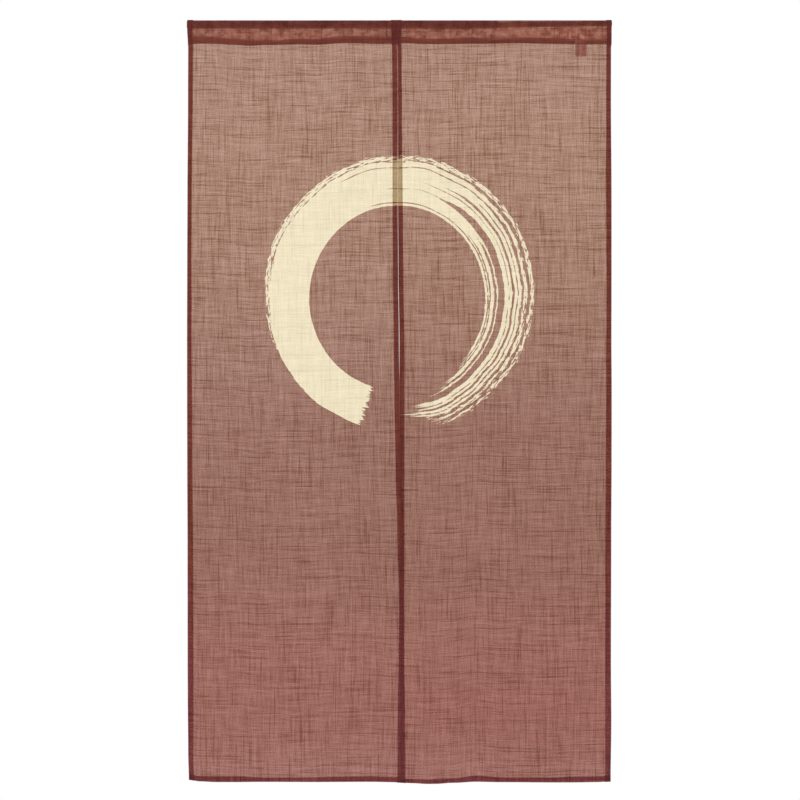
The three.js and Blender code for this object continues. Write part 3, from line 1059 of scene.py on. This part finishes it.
    inked = add(
        tree, "MapRange", {"Value": ink, "From Min": -INK_EDGE, "From Max": INK_EDGE}, **SMOOTH
    )
    face = add(tree, "Attribute", attribute_name=PRINTED_FACE, output="Fac")
    return add(tree, "Math", {0: inked, 1: face}, operation="MULTIPLY")


# Share of the light that threads send on through instead of back, dyed and printed ones, and
# share of the gaps between threads that the print leaves open
THROUGH_DYED = 0.6
THROUGH_PRINTED = 0.66
PRINTED_OPEN = 0.25

# Heights between which the shone-through tone changes from the usual one to the painted light of
# the top, lighter and yellower, or of the foot, redder
TOP_PAINTED_LIGHT = (-0.95, -0.30)
FOOT_PAINTED_LIGHT = (-1.0, -1.35)

# Factors at thin threads and at thick ones, on the dyed and the printed threads' light and on the
# open share between them, and the thicknesses at which they are reached
THICKNESS = (-0.7, 0.7)
THREAD_SHADE = (1.32, 0.68)
PRINT_SHADE = (1.14, 0.86)
OPEN_SHADE = (1.82, 0.18)

# Painted shade and light of creases in the gathered heading: their length, how much they darken and
# lighten it, and the level of the noise at which they do neither, a little above its middle, so
# that the pocket is painted lighter on the whole
PAINTED_CREASE_LENGTH = 0.013
PAINTED_CREASE_SHADE = 3.4
PAINTED_CREASE_LEVEL = 0.535


def sheer_slub_cloth(dye, ring):
    """Sheer plain weave of uneven slub yarn, dyed red-brown in the piece and screen printed.

    To the eye: matt, with light between and through its threads, so that each further layer of a
    hem is darker, and with long darker threads both ways where the yarn is thick.
    """
    material, tree, surface = new_material("sheer_slub_cloth")
    thick = thread_thickness(tree)
    inked = brushed_ring(tree, ring)
    folded = add(tree, "Attribute", output="Fac", attribute_name=FOLDED)
    pocket = add(tree, "Attribute", output="Fac", attribute_name=IN_POCKET)
    # The open share, whose changes with height and panel are painted light
    open_share = add(tree, "Attribute", output="Fac", attribute_name=OPEN_WEAVE_WITH_PAINTED_LIGHT)
    place = add(tree, "TexCoord", output="Object")
    height = add(tree, "SeparateXYZ", {0: place}, "Z")

    # Painted shade and light of the pocket's creases, added to the thickness, which from here
    # carries them into the shade and the open share
    painted_creases = add(
        tree,
        "TexNoise",
        {"Vector": place, "Scale": 1 / PAINTED_CREASE_LENGTH, "Detail": 2.0, "Distortion": 0.6},
        "Fac",
    )
    painted_creases = add(tree, "Math", {0: painted_creases, 1: PAINTED_CREASE_LEVEL}, operation="SUBTRACT")
    painted_creases = add(tree, "Math", {0: painted_creases, 1: pocket}, operation="MULTIPLY")
    thick = add(tree, "Math", {0: painted_creases, 1: PAINTED_CREASE_SHADE, 2: thick}, operation="MULTIPLY_ADD")

    ends = {"Value": thick, "From Min": THICKNESS[0], "From Max": THICKNESS[1]}
    shade, print_shade, open_shade = [
        add(tree, "MapRange", {**ends, "To Min": at_thin, "To Max": at_thick})
        for at_thin, at_thick in (THREAD_SHADE, PRINT_SHADE, OPEN_SHADE)
    ]
    shade = add(tree, "Mix", {0: inked, 2: shade, 3: print_shade})

    # The shone-through colour of the dye, with painted light: lighter near the top, redder near the
    # foot
    dyed = dye.through
    for (low, high), tone in ((TOP_PAINTED_LIGHT, dye.through_top_painted_light), (FOOT_PAINTED_LIGHT, dye.through_foot_painted_light)):
        near = add(
            tree, "MapRange", {"Value": height, "From Min": low, "From Max": high}, **SMOOTH
        )
        dyed = add(tree, "Mix", {0: near, 6: dyed, 7: tone}, 2, data_type="RGBA")
    # Painted light: lighter tones in the hems and the pocket, and a pinker one in the hems near the
    # foot
    pressed_with_painted_light = add(
        tree, "Mix", {0: near, 6: dye.through_hem_painted_light, 7: dye.through_hem_foot_painted_light}, 2, data_type="RGBA"
    )
    pressed_with_painted_light = add(tree, "Mix", {0: pocket, 6: pressed_with_painted_light, 7: dye.through_pocket_painted_light}, 2, data_type="RGBA")
    dyed = add(tree, "Mix", {0: folded, 6: dyed, 7: pressed_with_painted_light}, 2, data_type="RGBA")
    through = add(tree, "Mix", {0: inked, 6: dyed, 7: dye.print_through}, 2, data_type="RGBA")
    through = add(tree, "VectorMath", {0: through, 3: shade}, operation="SCALE")
    lit = add(tree, "Mix", {0: inked, 6: dye.lit, 7: dye.print_lit}, 2, data_type="RGBA")
    lit = add(tree, "VectorMath", {0: lit, 3: shade}, operation="SCALE")

    # Open share in layers; the pocket's larger one is painted light
    in_layers = add(tree, "Mix", {0: pocket, 2: dye.open_hem, 3: dye.open_pocket_painted_light})
    open_share = add(tree, "Mix", {0: folded, 2: open_share, 3: in_layers})
    closed = add(tree, "Math", {0: open_share, 1: PRINTED_OPEN}, operation="MULTIPLY")
    open_share = add(tree, "Mix", {0: inked, 2: open_share, 3: closed})
    open_share = add(tree, "Math", {0: open_share, 1: open_shade}, operation="MULTIPLY")

    relief = add(tree, "Bump", {"Height": thick, "Distance": 0.0003, "Strength": 0.5}, "Normal")
    send_back = add(
        tree,
        "BsdfPrincipled",
        {"Base Color": lit, "Roughness": 0.92, "Specular IOR Level": 0.2, "Normal": relief},
        "BSDF",
    )
    send_on = add(tree, "BsdfTranslucent", {"Color": through, "Normal": relief}, "BSDF")
    onward = add(tree, "Mix", {0: inked, 2: THROUGH_DYED, 3: THROUGH_PRINTED})
    threads = add(tree, "MixShader", {0: onward, 1: send_back, 2: send_on})
    between = add(tree, "BsdfTransparent", {"Color": (1, 1, 1, 1)}, "BSDF")
    shader = add(tree, "MixShader", {0: open_share, 1: threads, 2: between})
    tree.links.new(shader, surface)
    return material


# Sizes of the other finishes' patterns: twist of the thread, ribs and mottle of the ribbon, ripple
# of the tubes' coat, length and width of its rubbed streaks, grooves and grain of the rubber, and
# mottle of the floor
THREAD_TWIST = 0.0006
RIBBON_RIBS = 0.0008
RIBBON_MOTTLE = 0.004
COAT_RIPPLE = 0.004
RUB_LENGTH = 0.125
RUB_WIDTH = 0.01 / 9
PAD_GROOVES = 0.0026
RUBBER_GRAIN = 0.0008
FLOOR_MOTTLE = 2 / 3


def spun_sewing_thread(dye):
    """Spun polyester sewing thread, dyed to the cloth: dark, matt, twisted."""
    material, tree, surface = new_material("spun_sewing_thread")
    place = add(tree, "TexCoord", output="Object")
    twist = add(
        tree, "TexNoise", {"Vector": place, "Scale": 1 / THREAD_TWIST, "Detail": 1.0}, "Fac"
    )
    tone = add(tree, "Mix", {0: twist, 6: dye.thread, 7: dye.lit}, 2, data_type="RGBA")
    relief = add(tree, "Bump", {"Height": twist, "Distance": 0.0001, "Strength": 0.6}, "Normal")
    shader = add(
        tree,
        "BsdfPrincipled",
        {"Base Color": tone, "Roughness": 0.7, "Specular IOR Level": 0.3, "Normal": relief},
        "BSDF",
    )
    tree.links.new(shader, surface)
    return material


def woven_ribbon(name, lit, through):
    """Narrow woven polyester ribbon: close crosswise ribs with a faint sheen, half let through."""
    material, tree, surface = new_material(name)
    place = add(tree, "TexCoord", output="Object")
    height = add(tree, "SeparateXYZ", {0: place}, "Z")
    turns = add(tree, "Math", {0: height, 1: 2 * math.pi / RIBBON_RIBS}, operation="MULTIPLY")
    rib = add(tree, "Math", {0: turns}, operation="SINE")
    mottle = add(
        tree, "TexNoise", {"Vector": place, "Scale": 1 / RIBBON_MOTTLE, "Detail": 2.0}, "Fac"
    )
    shade = add(
        tree,
        "MapRange",
        {"Value": mottle, "From Min": 0.25, "From Max": 0.75, "To Min": 0.9, "To Max": 1.05},
    )
    front = add(tree, "VectorMath", {0: lit[:3], 3: shade}, operation="SCALE")
    onward = add(tree, "VectorMath", {0: through[:3], 3: shade}, operation="SCALE")
    relief = add(tree, "Bump", {"Height": rib, "Distance": 0.0001, "Strength": 0.5}, "Normal")
    send_back = add(
        tree,
        "BsdfPrincipled",
        {"Base Color": front, "Roughness": 0.5, "Sheen Weight": 0.2, "Normal": relief},
        "BSDF",
    )
    send_on = add(tree, "BsdfTranslucent", {"Color": onward, "Normal": relief}, "BSDF")
    shader = add(tree, "MixShader", {0: 0.45, 1: send_back, 2: send_on})
    tree.links.new(shader, surface)
    return material


def coated_steel_tube(paint):
    """Thin-walled steel tube with a baked brown coat: satin, faintly rippled, rubbed lighter."""
    material, tree, surface = new_material("coated_steel_tube")
    place = add(tree, "TexCoord", output="Object")
    ripple = add(
        tree, "TexNoise", {"Vector": place, "Scale": 1 / COAT_RIPPLE, "Detail": 2.0}, "Fac"
    )
    streaks = (1 / RUB_LENGTH, 1 / RUB_WIDTH, 1 / RUB_WIDTH)
    drawn = add(tree, "Mapping", {"Vector": place, "Scale": streaks})
    rubbed = add(tree, "TexNoise", {"Vector": drawn, "Scale": 1.0, "Detail": 3.0}, "Fac")
    worn = add(
        tree, "MapRange", {"Value": rubbed, "From Min": 0.6, "From Max": 0.8, "To Max": 0.6}
    )
    coat = add(tree, "Mix", {0: worn, 6: paint.coat, 7: paint.rubbed}, 2, data_type="RGBA")
    gloss = add(
        tree,
        "MapRange",
        {"Value": rubbed, "From Min": 0.3, "From Max": 0.8, "To Min": 0.36, "To Max": 0.55},
    )
    relief = add(tree, "Bump", {"Height": ripple, "Distance": 0.0002, "Strength": 0.25}, "Normal")
    shader = add(
        tree,
        "BsdfPrincipled",
        {"Base Color": coat, "Roughness": gloss, "Coat Weight": 0.2, "Normal": relief},
        "BSDF",
    )
    tree.links.new(shader, surface)
    return material


def moulded_rubber(paint):
    """Moulded dark rubber: matt, finely grained, with round grip grooves in the flat faces."""
    material, tree, surface = new_material("moulded_rubber")
    place = add(tree, "TexCoord", output="Object")
    flat = add(tree, "Mapping", {"Vector": place, "Scale": (0.0, 1.0, 1.0)})
    radius = add(tree, "VectorMath", {0: flat}, "Value", operation="LENGTH")
    turns = add(tree, "Math", {0: radius, 1: 2 * math.pi / PAD_GROOVES}, operation="MULTIPLY")
    groove = add(tree, "Math", {0: turns}, operation="SINE")
    grain = add(
        tree, "TexNoise", {"Vector": place, "Scale": 1 / RUBBER_GRAIN, "Detail": 2.0}, "Fac"
    )
    height = add(tree, "Math", {0: groove, 1: 0.7, 2: grain}, operation="MULTIPLY_ADD")
    dust = add(
        tree, "MapRange", {"Value": grain, "From Min": 0.35, "From Max": 0.7, "To Max": 0.5}
    )
    tone = add(tree, "Mix", {0: dust, 6: paint.rubber, 7: paint.dusty}, 2, data_type="RGBA")
    relief = add(tree, "Bump", {"Height": height, "Distance": 0.0003, "Strength": 0.5}, "Normal")
    shader = add(
        tree,
        "BsdfPrincipled",
        {"Base Color": tone, "Roughness": 0.85, "Specular IOR Level": 0.35, "Normal": relief},
        "BSDF",
    )
    tree.links.new(shader, surface)
    return material


def studio_floor(paint):
    """Plain pale matt floor, faintly mottled."""
    material, tree, surface = new_material("studio_floor")
    place = add(tree, "TexCoord", output="Object")
    mottle = add(
        tree, "TexNoise", {"Vector": place, "Scale": 1 / FLOOR_MOTTLE, "Detail": 3.0}, "Fac"
    )
    tone = add(tree, "Mix", {0: mottle, 6: paint.floor, 7: paint.floor_light}, 2, data_type="RGBA")
    shader = add(tree, "BsdfPrincipled", {"Base Color": tone, "Roughness": 0.8}, "BSDF")
    tree.links.new(shader, surface)
    return material


def set_attribute(mesh, name, values):
    layer = mesh.attributes.new(name, "FLOAT", "POINT")
    layer.data.foreach_set("value", np.ravel(values).astype(np.float32))


def set_cut_map(mesh, u, v):
    corners = np.empty(len(mesh.loops), dtype=np.int32)
    mesh.loops.foreach_get("vertex_index", corners)
    spots = np.stack([np.ravel(u)[corners], np.ravel(v)[corners]], axis=1)
    layer = mesh.uv_layers.new(name=CUT_MAP)
    layer.uv.foreach_set("vector", np.ravel(spots).astype(np.float32))


class NOREN_OT_panels(bpy.types.Operator):
    """Makes both panels of sheer cloth, with their hems and rod pockets, and sews them"""

    bl_idname = "noren.panels"
    bl_label = "Panels"

    def execute(self, context):
        scene = context.scene
        settings = scene.noren_cloth
        cloth_finish = sheer_slub_cloth(scene.noren_dye, scene.noren_ring)
        thread_finish = spun_sewing_thread(scene.noren_dye)
        pattern = stitch_pattern(settings)
        for side, panel in PANELS.items():
            cloth = PanelCloth(panel, settings)
            grid = cloth.build()
            self.make_cloth(side, cloth, grid, cloth_finish, settings)
            self.make_stitching(side, cloth, grid, thread_finish, settings, pattern)
        return {"FINISHED"}

    def make_cloth(self, side, cloth, grid, finish, settings):
        rows, columns = grid.shape[:2]
        points = grid.reshape(-1, 3).tolist()
        sheet = new_mesh_object(f"cloth_{side}", points, grid_faces(rows, columns))
        mesh = sheet.data
        mesh.shade_smooth()
        set_attribute(mesh, PRINTED_FACE, cloth.printed(rows))
        set_attribute(mesh, FOLDED, cloth.folded(rows))
        set_attribute(mesh, IN_POCKET, cloth.in_pocket(grid))
        set_attribute(mesh, OPEN_WEAVE_WITH_PAINTED_LIGHT, follow(OPENINGS_WITH_PAINTED_LIGHT, grid[:, :, 2], cloth.panel["openings_with_painted_light"]))
        set_cut_map(mesh, *cut_places(grid, cloth.panel["bolt"]))
        mesh.materials.append(finish)
        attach(sheet, BODY)
        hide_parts(cloth.panel["node"])

    def make_stitching(self, side, cloth, grid, finish, settings, pattern):
        normals = right_sides(grid)
        stitched = (cloth.side != 0) & np.isclose(cloth.share, STITCHED_SHARE)
        hem_columns = np.nonzero(stitched)[0]
        front = np.nonzero(cloth.turn == 0)[0]
        first = cloth.marks["foot_front"]
        last = cloth.marks["heading_back"]
        lines = [(grid[first:last, c], normals[first:last, c]) for c in hem_columns]
        for mark in ("foot_front", "foot_back", "heading_front", "heading_back"):
            row = cloth.marks[mark]
            lines.append((grid[row, front], normals[row, front]))
        shape, shape_faces = pattern
        points, faces = [], []
        for line, out in lines:
            for stitch in sew(line, out, settings, shape):
                faces += [tuple(i + len(points) for i in face) for face in shape_faces]
                points += stitch.tolist()
        stitching = new_mesh_object(f"stitching_{side}", points, faces)
        stitching.data.shade_smooth()
        stitching.data.materials.append(finish)
        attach(stitching, BODY)


class NOREN_OT_tabs(bpy.types.Operator):
    """Makes the two blank ribbon tabs that are caught in the right panel's heading seam"""

    bl_idname = "noren.tabs"
    bl_label = "Label tabs"

    def execute(self, context):
        dye = context.scene.noren_dye
        finishes = {
            "undyed": woven_ribbon("undyed_ribbon", dye.ribbon, dye.ribbon_through),
            "tinted": woven_ribbon("tinted_ribbon", dye.tinted, dye.tinted_through),
        }
        for side, tab in TABS.items():
            self.make_tab(side, tab, finishes[tab["finish"]], context.scene.noren_cloth)
        return {"FINISHED"}

    def make_tab(self, side, tab, finish, settings):
        across = np.linspace(tab["from"], tab["to"], TAB_GRID[0])
        x, share = np.meshgrid(across, np.linspace(0.0, 1.0, TAB_GRID[1]))
        stitch = follow(STITCH_LINE, x, 1)
        z = stitch + TAB_INSIDE - (TAB_INSIDE + TAB_HANG) * share
        below = ease((stitch - z) / TAB_HANG)
        gathered = seam_gathers(settings, x, stitch)
        y = hang(PANELS["right"], x, np.minimum(z, stitch)) + FRONT_FACE + gathered
        middle = (tab["from"] + tab["to"]) / 2
        cup = ((x - middle) / (tab["to"] - middle)) ** 2
        y = y + settings.layer / 2 + TAB_STAND * below + TAB_CUP * cup * below
        points = np.stack([x, y, z], axis=2).reshape(-1, 3).tolist()
        ribbon = new_mesh_object(f"tab_{side}", points, grid_faces(*x.shape))
        ribbon.data.shade_smooth()
        ribbon.data.materials.append(finish)
        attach(ribbon, BODY)
        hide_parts(tab["node"])


class NOREN_OT_rod(bpy.types.Operator):
    """Gives the rod's packed tubes and pads their finishes"""

    bl_idname = "noren.rod"
    bl_label = "Tension rod"

    def execute(self, context):
        paint = context.scene.noren_paint
        finishes = {
            coated_steel_tube(paint): ("rod_outer_tube", "rod_inner_tube"),
            moulded_rubber(paint): ("rod_pad_left", "rod_pad_right"),
        }
        for finish, nodes in finishes.items():
            for node in nodes:
                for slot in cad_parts[node].material_slots:
                    slot.material = finish
        return {"FINISHED"}


FLOOR_RADIUS = 4.0
FLOOR_SIDES = 96
SENSOR = 36.0
CLIP_END = 100.0

# Soft lights: (name, setting that holds its power, size, place)
LIGHTS = [
    ("key_light", "key", 2.4, (-2.6, -3.6, 1.2)),
    ("fill_light", "fill", 3.0, (3.4, -3.0, -0.4)),
]


class NOREN_OT_studio(bpy.types.Operator):
    """Makes the pale floor, the soft light and the camera straight in front"""

    bl_idname = "noren.studio"
    bl_label = "Studio"

    def execute(self, context):
        scene = context.scene
        studio = scene.noren_studio
        self.make_floor(studio, scene.noren_paint)
        for name, power, size, place in LIGHTS:
            self.make_light(name, getattr(studio, power), size, place, studio.view_height)
        self.make_sky(scene)
        self.make_camera(scene, studio)
        scene.view_settings.view_transform = "Standard"
        return {"FINISHED"}

    def make_floor(self, studio, paint):
        bpy.ops.object.select_all(action="DESELECT")
        bpy.ops.mesh.primitive_circle_add(
            vertices=FLOOR_SIDES, radius=FLOOR_RADIUS, fill_type="NGON"
        )
        floor = bpy.context.active_object
        floor.name = "floor"
        floor.data.transform(Matrix.Translation((0.0, 0.0, -studio.floor_drop)))
        floor.data.materials.append(studio_floor(paint))

    def make_light(self, name, power, size, place, aim_height):
        data = bpy.data.lights.new(name, "AREA")
        data.energy = power
        data.size = size
        light = bpy.data.objects.new(name, data)
        light.location = place
        aim = Vector((0.0, 0.0, aim_height)) - light.location
        light.rotation_euler = aim.to_track_quat("-Z", "Y").to_euler()
        bpy.context.scene.collection.objects.link(light)

    def make_sky(self, scene):
        world = bpy.data.worlds.new("white_studio")
        world.use_nodes = True
        background = world.node_tree.nodes["Background"]
        background.inputs["Color"].default_value = (1.0, 1.0, 1.0, 1.0)
        background.inputs["Strength"].default_value = 1.0
        scene.world = world

    def make_camera(self, scene, studio):
        data = bpy.data.cameras.new("camera")
        data.sensor_width = SENSOR
        data.lens = SENSOR * studio.distance / studio.framed
        data.clip_end = CLIP_END
        camera = bpy.data.objects.new("camera", data)
        camera.location = (0.0, -studio.distance, studio.view_height)
        camera.rotation_euler = (math.pi / 2, 0.0, 0.0)
        scene.collection.objects.link(camera)
        scene.camera = camera


class NOREN_PT_parts(bpy.types.Panel):
    """Lists the curtain's settings and the operators that make its pieces"""

    bl_idname = "NOREN_PT_parts"
    bl_label = "Noren Curtain"
    bl_space_type = "VIEW_3D"
    bl_region_type = "UI"
    bl_category = "Noren"

    def draw(self, context):
        for operator in OPERATORS:
            self.layout.operator(operator.bl_idname)
        for name, group in SETTINGS.items():
            box = self.layout.box()
            box.label(text=group.__doc__.strip())
            for field in group.__annotations__:
                box.prop(getattr(context.scene, name), field)


SETTINGS = {
    "noren_cloth": ClothSettings,
    "noren_dye": DyeSettings,
    "noren_ring": RingSettings,
    "noren_paint": PaintSettings,
    "noren_studio": StudioSettings,
}
OPERATORS = (NOREN_OT_panels, NOREN_OT_tabs, NOREN_OT_rod, NOREN_OT_studio)


def register():
    for group in (*SETTINGS.values(), *OPERATORS, NOREN_PT_parts):
        bpy.utils.register_class(group)
    for name, group in SETTINGS.items():
        setattr(bpy.types.Scene, name, bpy.props.PointerProperty(type=group))


def unregister():
    for name in SETTINGS:
        delattr(bpy.types.Scene, name)
    for group in (NOREN_PT_parts, *OPERATORS, *SETTINGS.values()):
        bpy.utils.unregister_class(group)


def main():
    register()
    bpy.ops.noren.panels()
    bpy.ops.noren.tabs()
    bpy.ops.noren.rod()
    bpy.ops.noren.studio()
    bpy.context.view_layer.update()


if __name__ == "__main__":
    main()
